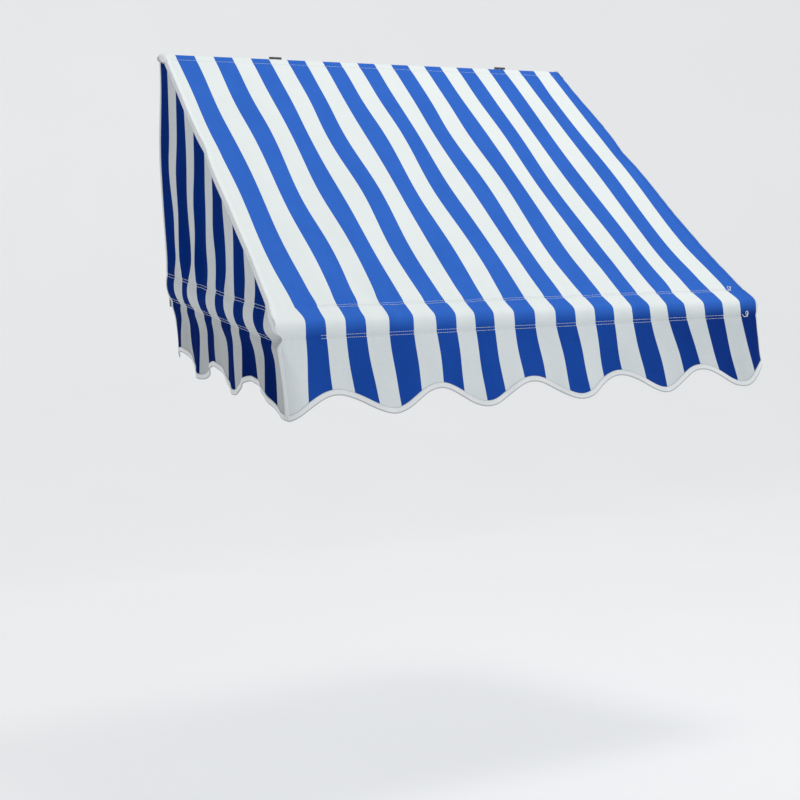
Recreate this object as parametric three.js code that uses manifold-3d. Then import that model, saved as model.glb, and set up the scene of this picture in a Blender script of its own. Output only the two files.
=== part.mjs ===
// Striped fabric window awning: a sewn canopy on a fixed tube frame held by wall brackets and sockets.
// Units are millimetres, +Z is up, +X is right as seen facing the wall, the wall is the plane y = 0
// and the awning stands out from it towards -Y.  The head bar's axis is at z = 0.
import * as THREE from 'three';
import Module from 'manifold-3d';

const wasm = await Module();
wasm.setup();

// ---- driving dimensions: cloth -----------------------------------------------------------
const GAP = 0.3;              // clearance left between touching parts
const CLOTH = 1.4;            // thickness of a sewn cloth layer
const TAPE = 0.9;             // thickness of the white tapes
const TAPE_REACH = 10;        // how far an edge tape reaches onto the cloth
const SEAM_REACH = 9;         // how far a seam tape reaches onto either cloth
const FRONT_HALF = 609.6;     // half width of the canopy at the front bar
const TOP_HALF = 591;         // half width of the canopy at the head bar
const WRAP_HALF = 584;        // half width of the pocket behind the head bar
const WING_HALF = 603.6;      // where a wing hangs near the wall, from mid width
const WING_EASE = 300;        // how far down a wing reaches its full width
const PROJECTION = 700;       // wall to the outer face of the valance
const DROP = 720;             // head bar axis down to the front bend
const VALANCE = 195;          // bend down to the lowest point of a scallop
const SCALLOP = 46;           // height of the scallop wave
const REAR_RISE = 150;        // how much higher the wing hem is at the wall
const REAR_Y = -8;            // rear edge of the wings
const FRONT_POCKET_HALF = 538;

// Distances from the left front corner to the turning points of the scallop wave, starting low.
const FRONT_WAVE = [0, 110, 240, 350, 460, 580, 695, 803, 915, 1020, 1135, 1219.2];
// Distances from a front corner back along the wing to its turning points.
const LEFT_WAVE = [0, 205, 310, 415, 520, 640, 700];
const RIGHT_WAVE = [-100, 0, 110, 215, 320, 425, 530, 640, 700];

// ---- driving dimensions: tubes -----------------------------------------------------------
const HEAD_R = 12.7;          // head bar radius
const HEAD_Y = -32;           // head bar axis from the wall
const HEAD_HALF = 576;        // head bar half length
const BAR_R = 11.1;           // radius of front bar and arms
const BAR_WALL = 1.5;         // tube wall
const CLOTH_AIR = 0.8;        // air between a bar and the cloth round it
const CORNER_X = 566;         // where the front bar tube ends and the elbow begins
const ARM_X = 587;            // plane of the arms
const ARM_FRONT = 22;         // bare length of elbow before the arm tube
const ARM_REAR = 24;          // how far an arm runs on behind its socket's screw
const SPIGOT = 30;            // length of an elbow spigot
const ELBOW_BEND = 14;        // bend radius of an elbow

// ---- driving dimensions: wall hardware ---------------------------------------------------
const PLATE = 3;              // thickness of the wall plates
const WALL_HOLE_R = 3.25;     // holes for 6 mm wall screws
const BOLT_R = 3;             // M6 bolts
const BOLT_Y = -9.6;          // axis of the bolts that hold the jaws down
const BRACKET_X = [-270, 420];
const BRACKET_HALF = 17;      // half width of a head bracket
const BRACKET_TOP = 30;
const BRACKET_FOOT = -52;
const SHELF_TOP = -1.2;
const SHELF_UNDER = -5.2;
const CRADLE = 3;             // thickness of the J under the head bar
const JAW_HALF = 15;          // half width of a jaw
const JAW = 2.6;              // thickness of a jaw
const SOCKET_Y = -32;         // point on an arm's axis at its socket's screw
const SOCKET_Z = -572;
const SOCKET_R = 13.6;        // outer radius of the wall sockets
const SOCKET_LEN = 44;        // how far a socket stands out along the arm
const SOCKET_BACK = 30;       // how far it runs on behind its screw
const SOCKET_HALF = 15;       // half width of its plate
const SOCKET_UP = 34;         // its plate above and below SOCKET_Z
const SOCKET_DOWN = 44;

// ---- derived positions -------------------------------------------------------------------
const R_HEAD = HEAD_R + CLOTH_AIR;                       // inner cloth radius at the head bar
const R_BAR = BAR_R + CLOTH_AIR;                         // inner cloth radius at the front bar
const BAR_Y = -(PROJECTION - CLOTH - R_BAR);             // front bar axis
const BAR_Z = -DROP - 4;
const ROOF_LEN = Math.hypot(BAR_Y - HEAD_Y, BAR_Z);      // axis to axis
const DIR = new THREE.Vector2(BAR_Y - HEAD_Y, BAR_Z).divideScalar(ROOF_LEN);
const TILT = Math.asin((R_HEAD - R_BAR) / ROOF_LEN);     // the two pockets differ in radius
const NRM = new THREE.Vector2(DIR.y, -DIR.x).rotateAround(new THREE.Vector2(), -TILT);
const NRM_ANGLE = Math.atan2(NRM.y, NRM.x);
const ARM_ANGLE = Math.atan2(BAR_Z - SOCKET_Z, BAR_Y - SOCKET_Y);
const WING_FRONT = -(PROJECTION - CLOTH) + 0.4;          // front edge of the wings

const { lerp, clamp } = THREE.MathUtils;
const V3 = (x, y, z) => new THREE.Vector3(x, y, z);
const ladder = (from, to, steps) => Array.from({ length: steps + 1 }, (_, k) => lerp(from, to, k / steps));

// ---- materials: colour, roughness, metalness ---------------------------------------------
const FINISHES = {
  cloth: [0x3a70cf, 0.85, 0],
  tape: [0xe9eeec, 0.8, 0],
  alu: [0xb9bdc2, 0.38, 0.9],
  cast: [0x8f9499, 0.5, 0.8],
  steel: [0x9ea2a6, 0.35, 0.95],
  plastic: [0xd9dad8, 0.5, 0],
};
function paint(finish) {
  const [color, roughness, metalness] = FINISHES[finish];
  return new THREE.MeshStandardMaterial({ color, roughness, metalness });
}

// ---- mesh helpers ------------------------------------------------------------------------
function fromTriangles(points, faces) {
  const g = new THREE.BufferGeometry();
  const numbers = new Float32Array(points.flatMap((p) => [p.x, p.y, p.z]));
  g.setAttribute('position', new THREE.BufferAttribute(numbers, 3));
  g.setIndex(faces.flat());
  return outward(g);
}

// Turns the faces over if the signed volume is negative.
function outward(g) {
  const p = g.attributes.position;
  const idx = g.index.array;
  const corner = (i) => V3().fromBufferAttribute(p, idx[i]);
  let volume = 0;
  for (let i = 0; i < idx.length; i += 3) {
    volume += corner(i).dot(corner(i + 1).cross(corner(i + 2)));
  }
  if (volume < 0) {
    for (let i = 0; i < idx.length; i += 3) {
      [idx[i + 1], idx[i + 2]] = [idx[i + 2], idx[i + 1]];
    }
  }
  g.computeVertexNormals();
  return g;
}

// Triangles of one flat polygon, wound like the polygon itself.
function capTriangles(ring) {
  const o = ring[0];
  const arms = ring.map((p) => p.clone().sub(o));
  const normal = V3();
  for (let i = 1; i < ring.length - 1; i++) {
    normal.add(arms[i].clone().cross(arms[i + 1]));
  }
  normal.normalize();
  const u = arms[1].clone().normalize();
  const v = normal.clone().cross(u);
  return THREE.ShapeUtils.triangulateShape(arms.map((p) => new THREE.Vector2(p.dot(u), p.dot(v))), []);
}

// Closed solid through rings of equal point counts; each ring is a closed polygon.
function loft(rings) {
  const n = rings[0].length;
  const last = rings.length - 1;
  const faces = [];
  for (let i = 0; i < last; i++) {
    for (let j = 0; j < n; j++) {
      const a = i * n + j;
      const b = i * n + ((j + 1) % n);
      faces.push([a, b, b + n], [a, b + n, a + n]);
    }
  }
  capTriangles(rings[0]).forEach(([a, b, c]) => faces.push([a, c, b]));
  capTriangles(rings[last]).forEach((face) => faces.push(face.map((k) => k + last * n)));
  return fromTriangles(rings.flat(), faces);
}

// Closed cloth solid between two grids of points of the same size.
const sheet = (outer, inner) => loft(outer.map((column, i) => [...column, ...[...inner[i]].reverse()]));

// Merges the repeated vertices of a three.js primitive and makes it face outwards.
function weld(g) {
  const p = g.attributes.position;
  const known = new Map();
  const points = [];
  const map = [];
  for (let i = 0; i < p.count; i++) {
    const point = V3().fromBufferAttribute(p, i);
    const key = point.toArray().map((c) => Math.round(c * 1e4)).join();
    if (!known.has(key)) {
      known.set(key, points.length);
      points.push(point);
    }
    map.push(known.get(key));
  }
  const faces = [];
  for (let i = 0; i < g.index.count; i += 3) {
    const face = [0, 1, 2].map((k) => map[g.index.array[i + k]]);
    if (new Set(face).size === 3) {
      faces.push(face);
    }
  }
  return fromTriangles(points, faces);
}

// Solid of revolution about +Z from a closed [radius, height] profile.
function turned(profile) {
  const points = [...profile, profile[0]].map(([r, z]) => new THREE.Vector2(r, z));
  const g = new THREE.LatheGeometry(points, 24);
  g.rotateX(Math.PI / 2);
  return weld(g);
}

function toManifold(g) {
  const mesh = new wasm.Mesh({
    numProp: 3,
    vertProperties: new Float32Array(g.attributes.position.array),
    triVerts: new Uint32Array(g.index.array),
  });
  mesh.merge();
  return new wasm.Manifold(mesh);
}
function fromManifold(solid) {
  const mesh = solid.getMesh();
  const points = [];
  const faces = [];
  for (let i = 0; i < mesh.vertProperties.length; i += mesh.numProp) {
    points.push(V3().fromArray(mesh.vertProperties, i));
  }
  for (let i = 0; i < mesh.triVerts.length; i += 3) {
    faces.push([...mesh.triVerts.slice(i, i + 3)]);
  }
  return fromTriangles(points, faces);
}
const join = (...solids) => fromManifold(solids.map(toManifold).reduce((a, b) => a.add(b)));
function cut(g, ...tools) {
  return fromManifold(tools.map(toManifold).reduce((a, b) => a.subtract(b), toManifold(g)));
}

// ---- plain solids ------------------------------------------------------------------------
// Polygon of [y, z] points pushed from x0 to x1.
const slab = (outline, x0, x1) => loft([x0, x1].map((x) => outline.map(([y, z]) => V3(x, y, z))));
const block = (x0, x1, y0, y1, z0, z1) => slab([[y0, z0], [y1, z0], [y1, z1], [y0, z1]], x0, x1);

// Turns +Z to point from one point to another.
function turnTo(from, to) {
  return new THREE.Quaternion().setFromUnitVectors(V3(0, 0, 1), to.clone().sub(from).normalize());
}

// Solid rod between two points.
function rod(from, to, r, segments = 20) {
  const turn = turnTo(from, to);
  const ring = (centre) => Array.from({ length: segments }, (_, k) => {
    const a = (2 * Math.PI * (k + 0.5)) / segments;
    return V3(r * Math.cos(a), r * Math.sin(a), 0).applyQuaternion(turn).add(centre);
  });
  return loft([ring(from), ring(to)]);
}
const hexRod = (from, to, acrossFlats) => rod(from, to, acrossFlats / Math.sqrt(3), 6);

// Open-ended tube between two points.
function pipe(from, to, r) {
  const length = from.distanceTo(to);
  const g = turned([[r - BAR_WALL, 0], [r, 0], [r, length], [r - BAR_WALL, length]]);
  g.applyQuaternion(turnTo(from, to));
  g.translate(from.x, from.y, from.z);
  return g;
}

// ---- shape of the sewn cloth -------------------------------------------------------------
// Smooth wave: 0 at the even turning points (lowest) and 1 at the odd ones (highest).
function wave(table, s) {
  let i = 0;
  while (i < table.length - 2 && s > table[i + 1]) i++;
  const t = clamp((s - table[i]) / (table[i + 1] - table[i]), 0, 1);
  return 0.5 - 0.5 * Math.cos(Math.PI * (i + t));
}
const frontHem = (x) => -DROP - VALANCE + SCALLOP * wave(FRONT_WAVE, x + FRONT_HALF);
function wingHem(side, y) {
  const s = PROJECTION + y;
  const lift = wave(side < 0 ? LEFT_WAVE : RIGHT_WAVE, s);
  return -DROP - VALANCE + SCALLOP * lift + (REAR_RISE * s) / PROJECTION;
}

// Cross-section of the canopy over head bar, roof and front bar as
// [y, z, normal y, normal z, half width].  `lift` moves it off the inner face of the cloth.
function arcPoint(cy, cz, r, angle, half) {
  const c = Math.cos(angle);
  const s = Math.sin(angle);
  return [cy + r * c, cz + r * s, c, s, half];
}
function roofSection(lift, wrapFrom) {
  const top = Math.PI / 2;
  const points = ladder(wrapFrom, NRM_ANGLE, 8).map((a) => {
    const half = lerp(WRAP_HALF, TOP_HALF, clamp((a - top) / (NRM_ANGLE - top), 0, 1));
    return arcPoint(HEAD_Y, 0, R_HEAD + lift, a, half);
  });
  const [y0, z0] = points[8];
  const [y1, z1] = arcPoint(BAR_Y, BAR_Z, R_BAR + lift, NRM_ANGLE, 0);
  for (const t of [0.33, 0.66]) {
    points.push([lerp(y0, y1, t), lerp(z0, z1, t), NRM.x, NRM.y, lerp(TOP_HALF, FRONT_HALF, t)]);
  }
  const bend = ladder(NRM_ANGLE, Math.PI, 4).map((a) => arcPoint(BAR_Y, BAR_Z, R_BAR + lift, a, FRONT_HALF));
  return [...points, ...bend];
}

// Underside of the roof at a distance y from the wall, used by the wings.
function roofUnder(y) {
  if (y >= HEAD_Y) return R_HEAD;
  const y0 = HEAD_Y + R_HEAD * NRM.x;
  if (y > y0) return Math.sqrt(R_HEAD ** 2 - (y - HEAD_Y) ** 2);
  const y1 = BAR_Y + R_BAR * NRM.x;
  if (y > y1) return lerp(R_HEAD * NRM.y, BAR_Z + R_BAR * NRM.y, (y - y0) / (y1 - y0));
  return BAR_Z + Math.sqrt(Math.max(R_BAR ** 2 - (y - BAR_Y) ** 2, 0));
}

// One cloth: pocket behind the head bar, roof, bend over the front bar, scalloped valance.
// The pocket is notched where the head brackets reach the bar.
const COLUMNS = 48;
const columnX = (k) => ((2 * k) / COLUMNS - 1) * FRONT_HALF;
const WRAP_FROM = -2.0;       // angle round the head bar where the pocket's free edge is sewn down
function canopyPanel() {
  const grid = (lift) => ladder(0, COLUMNS, COLUMNS).map((k) => {
    const x = columnX(k);
    const y = -(PROJECTION - CLOTH) - lift;
    const roof = roofSection(lift, WRAP_FROM).map((p) => V3((x / FRONT_HALF) * p[4], p[0], p[1]));
    const valance = [0.35, 0.7, 1].map((t) => V3(x, y, lerp(BAR_Z, frontHem(x), t)));
    return [...roof, ...valance];
  });
  const room = [[0, 20], [HEAD_Y - 1, 20], [HEAD_Y - 1, 7], [-43, 5], [-43, -25], [0, -25]];
  const notches = BRACKET_X.map((x) => slab(room, x - BRACKET_HALF - 7, x + BRACKET_HALF + 7));
  return cut(sheet(grid(CLOTH), grid(0)), ...notches);
}

// Triangular side cloth with a scalloped hem; side is -1 (left) or 1 (right).
// Its outer face leans from the narrower roof edge out to a fuller line lower down.
function wingX(y, z) {
  const edge = lerp(TOP_HALF, FRONT_HALF, clamp((y - HEAD_Y) / (BAR_Y - HEAD_Y), 0, 1)) - 1;
  const full = lerp(WING_HALF, FRONT_HALF - 0.8, clamp(-y / PROJECTION, 0, 1));
  return lerp(edge, full, clamp((roofUnder(y) - z) / WING_EASE, 0, 1));
}
const corners = [HEAD_Y, HEAD_Y + R_HEAD * NRM.x, BAR_Y + R_BAR * NRM.x, BAR_Y - 6];
const wingColumns = [...ladder(REAR_Y, WING_FRONT, 34), ...corners].sort((a, b) => b - a);
const wingTop = (y) => roofUnder(y) - CLOTH_AIR;
const WING_ROWS = [0, 0.12, 0.35, 0.65, 0.85, 1];
function wing(side) {
  const grid = (lift) => wingColumns.map((y) => WING_ROWS.map((t) => {
    const z = lerp(wingTop(y), wingHem(side, y), t);
    return V3(side * (wingX(y, z) - CLOTH + lift), y, z);
  }));
  return sheet(grid(CLOTH), grid(0));
}

// ---- tapes -------------------------------------------------------------------------------
// U of tape folded over a cloth edge: `out` points off the outer face, `into` points into the cloth.
function foldedTape(edges) {
  const near = GAP;
  const far = GAP + TAPE;
  return loft(edges.map(({ face, out, into }) => {
    const at = (o, i) => face.clone().addScaledVector(out, o).addScaledVector(into, i);
    const outer = [[far, TAPE_REACH], [far, -far], [-CLOTH - far, -far], [-CLOTH - far, TAPE_REACH]];
    const inner = [[-CLOTH - near, TAPE_REACH], [-CLOTH - near, -near], [near, -near], [near, TAPE_REACH]];
    return [...outer, ...inner].map(([o, i]) => at(o, i));
  }));
}
// The hem runs straight between two columns of the panel, and the tape stops just short of its ends.
function frontHemTape() {
  const short = 0.12;
  return foldedTape(ladder(0, COLUMNS, COLUMNS).map((step) => {
    const u = clamp(step, short, COLUMNS - short);
    const k = Math.min(Math.floor(u), COLUMNS - 1);
    const z = lerp(frontHem(columnX(k)), frontHem(columnX(k + 1)), u - k);
    return { face: V3(columnX(u), -PROJECTION, z), out: V3(0, -1, 0), into: V3(0, 0, 1) };
  }));
}
function wingHemTape(side) {
  const inside = wingColumns.filter((y) => y > WING_FRONT + 3 && y < REAR_Y - 3);
  return foldedTape(inside.map((y) => {
    const z = wingHem(side, y);
    return { face: V3(side * wingX(y, z), y, z), out: V3(side, 0, 0), into: V3(0, 0, 1) };
  }));
}
function rearTape(side) {
  return foldedTape(WING_ROWS.map((t) => {
    const z = lerp(wingTop(REAR_Y), wingHem(side, REAR_Y), clamp(t, 0.015, 0.975));
    return { face: V3(side * wingX(REAR_Y, z), REAR_Y, z), out: V3(side, 0, 0), into: V3(0, -1, 0) };
  }));
}
// Folded tape over the seam between roof or valance and a wing.
function seamTape(side) {
  const hem = frontHem(side * FRONT_HALF) + TAPE_REACH + 3;
  const path = [
    [-12, R_HEAD + CLOTH, 0, 1, TOP_HALF],
    ...roofSection(CLOTH, Math.PI / 2).map((p, k) => [...p.slice(0, 4), k < 8 ? TOP_HALF : p[4]]),
    ...[0.5, 1].map((t) => [-PROJECTION, lerp(BAR_Z, hem, t), -1, 0, FRONT_HALF]),
  ];
  return loft(path.map(([y, z, ny, nz, half]) => {
    const at = (x, o) => V3(side * x, y + ny * o, z + nz * o);
    const near = half + GAP;
    const far = near + TAPE;
    const under = -CLOTH - SEAM_REACH;
    const outer = [at(half - SEAM_REACH, GAP + TAPE), at(far, GAP + TAPE), at(far, under)];
    return [...outer, at(near, under), at(near, GAP), at(half - SEAM_REACH, GAP)];
  }));
}

// ---- bar pockets -------------------------------------------------------------------------
// Closed outline of a thin strip that follows an open flat path of [u, v] points.
function ribbon(path, thickness) {
  const edge = (offset) => path.map(([u, v], i) => {
    const [u0, v0] = path[Math.max(i - 1, 0)];
    const [u1, v1] = path[Math.min(i + 1, path.length - 1)];
    const length = Math.hypot(u1 - u0, v1 - v0);
    return [u - (offset * (v1 - v0)) / length, v + (offset * (u1 - u0)) / length];
  });
  return [...edge(thickness / 2), ...edge(-thickness / 2).reverse()];
}
// Path that comes from two outer points, passes round a bar on one side and goes to two more.
function roundBar([p0, p1], [cu, cv], [p2, p3], steps) {
  const r = R_BAR + CLOTH / 2;
  const touch = ([u, v], turn) => {
    const reach = Math.hypot(u - cu, v - cv);
    return Math.atan2(v - cv, u - cu) + turn * Math.acos(r / reach);
  };
  const from = touch(p1, -1);
  let to = touch(p2, 1);
  while (to > from) to -= 2 * Math.PI;
  const arc = ladder(from, to, steps).map((a) => [cu + r * Math.cos(a), cv + r * Math.sin(a)]);
  return [p0, p1, ...arc, p2, p3];
}

// Cloth strip sewn under roof and valance that holds the front bar.
function frontPocket() {
  const lift = R_BAR - GAP - CLOTH / 2;
  const roof = (d) => [BAR_Y - DIR.x * d + NRM.x * lift, BAR_Z - DIR.y * d + NRM.y * lift];
  const valance = (d) => [-(PROJECTION - CLOTH) + GAP + CLOTH / 2, BAR_Z - d];
  const path = roundBar([roof(52), roof(42)], [BAR_Y, BAR_Z], [valance(24), valance(32)], 5);
  return slab(ribbon(path, CLOTH), -FRONT_POCKET_HALF, FRONT_POCKET_HALF);
}
// Cloth channel inside a wing that holds the arm; its path is drawn for the left side and turned over.
function sidePocket(side) {
  return loft([0.12, 0.4, 0.7, 0.93].map((t) => {
    const y = lerp(SOCKET_Y, BAR_Y, t);
    const z = lerp(SOCKET_Z, BAR_Z, t);
    const face = (d) => [-(wingX(y, z + d) - CLOTH - 3 * GAP - CLOTH / 2), z + d];
    const path = roundBar([face(31), face(23)], [-ARM_X, z], [face(-23), face(-31)], 6);
    return ribbon(path, CLOTH).map(([u, v]) => V3(-side * u, y, v));
  }));
}

// ---- frame -------------------------------------------------------------------------------
const armDirection = V3(0, Math.cos(ARM_ANGLE), Math.sin(ARM_ANGLE));
const fromElbow = (side, d) => V3(side * ARM_X, BAR_Y, BAR_Z).addScaledVector(armDirection, -d);
const fromSocket = (side, d) => V3(side * ARM_X, SOCKET_Y, SOCKET_Z).addScaledVector(armDirection, d);

const headBar = () => pipe(V3(-HEAD_HALF, HEAD_Y, 0), V3(HEAD_HALF, HEAD_Y, 0), HEAD_R);
const frontBar = () => pipe(V3(-CORNER_X, BAR_Y, BAR_Z), V3(CORNER_X, BAR_Y, BAR_Z), BAR_R);
const arm = (side) => pipe(fromElbow(side, ARM_FRONT), fromSocket(side, -ARM_REAR), BAR_R);

// Plastic end cap with a plug inside the head bar.
function headCap(side) {
  const plug = HEAD_R - BAR_WALL - GAP;
  const rim = [[plug, GAP], [HEAD_R, GAP], [HEAD_R, 2], [HEAD_R - 1.2, 3]];
  const g = turned([[0, -14], [plug, -14], ...rim, [0, 3]]);
  g.rotateY((side * Math.PI) / 2);
  g.translate(side * HEAD_HALF, HEAD_Y, 0);
  return outward(g);
}

// Corner fitting: a bent rod whose two spigots slide into the front bar and the arm.
function elbow(side) {
  const plug = BAR_R - BAR_WALL - GAP;
  const shoulder = 0.01;      // run of the step from spigot to full radius
  const taper = 2;            // length of a spigot's tapered tip, 1 mm smaller in radius
  const sideways = V3(side, 0, 0);
  const back = armDirection.clone().negate();
  const barEnd = (x, r) => ({ p: V3(side * x, BAR_Y, BAR_Z), d: sideways, r });
  const armEnd = (d, r) => ({ p: fromElbow(side, d), d: back, r });
  const centre = V3(side * (ARM_X - ELBOW_BEND), BAR_Y, BAR_Z).addScaledVector(back, ELBOW_BEND);
  const bend = ladder(0, Math.PI / 2, 6).map((a) => ({
    p: centre.clone().addScaledVector(back, -ELBOW_BEND * Math.cos(a))
      .addScaledVector(sideways, ELBOW_BEND * Math.sin(a)),
    d: sideways.clone().multiplyScalar(Math.cos(a)).addScaledVector(back, Math.sin(a)),
    r: BAR_R,
  }));
  const path = [
    barEnd(CORNER_X - SPIGOT, plug - 1),
    barEnd(CORNER_X - SPIGOT + taper, plug),
    barEnd(CORNER_X + GAP, plug),
    barEnd(CORNER_X + GAP + shoulder, BAR_R),
    ...bend,
    armEnd(ARM_FRONT - GAP - shoulder, BAR_R),
    armEnd(ARM_FRONT - GAP, plug),
    armEnd(ARM_FRONT + SPIGOT - taper, plug),
    armEnd(ARM_FRONT + SPIGOT, plug - 1),
  ];
  const up = sideways.clone().cross(back).normalize();
  return loft(path.map(({ p, d, r }) => {
    const across = d.clone().normalize().cross(up).normalize();
    return Array.from({ length: 20 }, (_, k) => {
      const a = (2 * Math.PI * k) / 20;
      return p.clone().addScaledVector(up, r * Math.cos(a)).addScaledVector(across, r * Math.sin(a));
    });
  }));
}

// Flat head of a screw that holds a tube on a spigot; `dir` points from the tube's axis to the head.
function screwHead(axis, dir) {
  const at = (r) => axis.clone().addScaledVector(dir, r);
  return rod(at(BAR_R + GAP), at(BAR_R + 2.2), 3.6, 12);
}

// ---- wall hardware -----------------------------------------------------------------------
const wallHole = (x, z) => rod(V3(x, 2, z), V3(x, -PLATE - 5, z), WALL_HOLE_R, 24);
const boltHole = (x, z0, z1) => rod(V3(x, BOLT_Y, z0), V3(x, BOLT_Y, z1), BOLT_R + GAP, 24);
const roundHead = (r, a) => [HEAD_Y + r * Math.cos(a), r * Math.sin(a)];
const headArc = (r, a0, a1, steps) => ladder(a0, a1, steps).map((a) => roundHead(r, a));

// Cradle that carries the head bar: wall plate, shelf and a J under the bar.
function headBracket(x) {
  const inner = HEAD_R + GAP;
  const outline = [
    [0, BRACKET_TOP], [-PLATE, BRACKET_TOP], [-PLATE, SHELF_TOP],
    roundHead(inner, -0.09),
    ...headArc(inner, -0.3, -2.6, 12),
    ...headArc(inner + CRADLE, -2.6, -0.34, 12),
    [-PLATE, SHELF_UNDER], [-PLATE, BRACKET_FOOT], [0, BRACKET_FOOT],
  ];
  const body = slab(outline, x - BRACKET_HALF, x + BRACKET_HALF);
  return cut(body, wallHole(x, 22), wallHole(x, -26), wallHole(x, -43), boltHole(x, -12, 6));
}
// Jaw that closes over the top of the bar.
function headJaw(x) {
  const inner = HEAD_R + GAP;
  const outline = [
    [-4.2, -0.9], [-4.2, 1.7],
    ...headArc(inner + JAW, 0.109, 1.32, 8),
    ...headArc(inner, 1.32, -0.06, 8),
  ];
  return cut(slab(outline, x - JAW_HALF, x + JAW_HALF), boltHole(x, -6, 6));
}
// Hexagon bolt that pulls the jaw down, and its nut under the shelf.
function headBolt(x) {
  const at = (z) => V3(x, BOLT_Y, z);
  return join(rod(at(-12.5), at(3), BOLT_R, 16), hexRod(at(2), at(6), 9));
}
function headNut(x) {
  const top = SHELF_UNDER - 0.4;
  const body = hexRod(V3(x, BOLT_Y, top - 4.6), V3(x, BOLT_Y, top), 9.4);
  return cut(body, rod(V3(x, BOLT_Y, -14), V3(x, BOLT_Y, 0), BOLT_R + GAP, 16));
}

// Wall plate with a sloping socket that an arm slides into; a gusset stiffens it from below.
function armSocket(side) {
  const x = side * ARM_X;
  const z = SOCKET_Z;
  const plate = block(x - SOCKET_HALF, x + SOCKET_HALF, -PLATE, 0, z - SOCKET_DOWN, z + SOCKET_UP);
  const cup = rod(fromSocket(side, -SOCKET_BACK), fromSocket(side, SOCKET_LEN - SOCKET_BACK), SOCKET_R, 32);
  const tip = SOCKET_Y - 6;
  const gusset = slab([[-1, z - 30], [-1, z - 6], [tip, z - 8], [tip, z - 13]], x - 2, x + 2);
  const bore = rod(fromSocket(side, -ARM_REAR - GAP), fromSocket(side, 60), BAR_R + GAP, 32);
  const behindWall = block(x - 30, x + 30, 0, 20, z - 60, z + 60);
  const axis = fromSocket(side, 0);
  const screwHole = rod(axis, axis.clone().add(V3(-side * 30, 0, 0)), BOLT_R + GAP, 20);
  return cut(join(plate, cup, gusset), bore, behindWall, screwHole, wallHole(x, z + 26), wallHole(x, z - 37));
}
// Hex-head clamping screw whose tip bears on the arm through the socket wall.
function socketScrew(side) {
  const at = (r) => fromSocket(side, 0).add(V3(-side * r, 0, 0));
  const shank = rod(at(BAR_R + GAP), at(SOCKET_R + 3), BOLT_R, 16);
  return join(shank, hexRod(at(SOCKET_R + 1.5), at(SOCKET_R + 5.5), 10));
}

// ---- assembly ----------------------------------------------------------------------------
const awning = new THREE.Group();
awning.name = 'fabric_awning';
function add(name, geometry, finish) {
  const mesh = new THREE.Mesh(geometry, paint(finish));
  mesh.name = name;
  awning.add(mesh);
}

add('canopy_panel', canopyPanel(), 'cloth');
add('hem_tape_front', frontHemTape(), 'tape');
add('pocket_front', frontPocket(), 'cloth');
add('head_bar', headBar(), 'alu');
add('front_bar', frontBar(), 'alu');

const downward = V3(0, Math.cos(-1.1), Math.sin(-1.1));
for (const [tag, side] of [['left', -1], ['right', 1]]) {
  const barScrewAt = V3(side * (CORNER_X - 15), BAR_Y, BAR_Z);
  const armScrewAt = fromElbow(side, ARM_FRONT + 12);
  add(`wing_${tag}`, wing(side), 'cloth');
  add(`seam_tape_${tag}`, seamTape(side), 'tape');
  add(`hem_tape_${tag}`, wingHemTape(side), 'tape');
  add(`rear_tape_${tag}`, rearTape(side), 'tape');
  add(`pocket_${tag}`, sidePocket(side), 'cloth');
  add(`head_cap_${tag}`, headCap(side), 'plastic');
  add(`arm_${tag}`, arm(side), 'alu');
  add(`elbow_${tag}`, elbow(side), 'cast');
  add(`elbow_screw_bar_${tag}`, screwHead(barScrewAt, downward), 'steel');
  add(`elbow_screw_arm_${tag}`, screwHead(armScrewAt, V3(-side, 0, 0)), 'steel');
  add(`arm_socket_${tag}`, armSocket(side), 'cast');
  add(`socket_screw_${tag}`, socketScrew(side), 'steel');
}
['left', 'right'].forEach((tag, i) => {
  const x = BRACKET_X[i];
  add(`head_bracket_${tag}`, headBracket(x), 'steel');
  add(`head_jaw_${tag}`, headJaw(x), 'steel');
  add(`head_bolt_${tag}`, headBolt(x), 'steel');
  add(`head_nut_${tag}`, headNut(x), 'steel');
});

export default awning;
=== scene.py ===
import math
from functools import partial

import bpy
import numpy as np
from mathutils import Matrix


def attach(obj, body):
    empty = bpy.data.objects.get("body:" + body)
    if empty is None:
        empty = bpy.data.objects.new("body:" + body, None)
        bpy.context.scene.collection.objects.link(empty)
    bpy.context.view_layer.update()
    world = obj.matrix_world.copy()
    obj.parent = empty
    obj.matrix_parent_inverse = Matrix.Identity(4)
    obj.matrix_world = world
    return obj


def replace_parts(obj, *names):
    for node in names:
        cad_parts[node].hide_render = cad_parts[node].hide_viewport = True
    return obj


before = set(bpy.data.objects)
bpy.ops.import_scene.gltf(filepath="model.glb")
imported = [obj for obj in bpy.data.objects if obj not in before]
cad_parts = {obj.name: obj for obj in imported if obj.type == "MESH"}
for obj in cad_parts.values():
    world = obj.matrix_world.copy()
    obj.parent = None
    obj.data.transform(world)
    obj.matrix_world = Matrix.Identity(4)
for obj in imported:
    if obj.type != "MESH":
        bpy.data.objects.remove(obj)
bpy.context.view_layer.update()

# ---- sizes, in metres, as in the CAD part ----
FRONT_HALF = 0.6096  # half width of the cloth at the front bar
TOP_HALF = 0.591  # where the roof leaves the head bar
WRAP_HALF = 0.584  # behind the head bar
WALL_HALF = 0.6036  # from one wing to the other at the wall, halved
PROJECTION = 0.700
DROP = 0.720
VALANCE = 0.195
SCALLOP = 0.046
REAR_RISE = 0.150  # how much higher the wings' hem ends at the wall
REAR_Y = -0.008  # rear edge of the wings
CLOTH = 0.0014  # room the CAD leaves for a layer of cloth
THIN = 0.0009  # thickness drawn
HEAD_Y = -0.032  # the head bar's axis
R_HEAD = 0.0135  # inner radius of the cloth round the head bar
R_BAR = 0.0119  # the same round the front bar and the arms
BAR_Y = -(PROJECTION - CLOTH - R_BAR)
BAR_Z = -DROP - 0.004
ARM_X = 0.587
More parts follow.
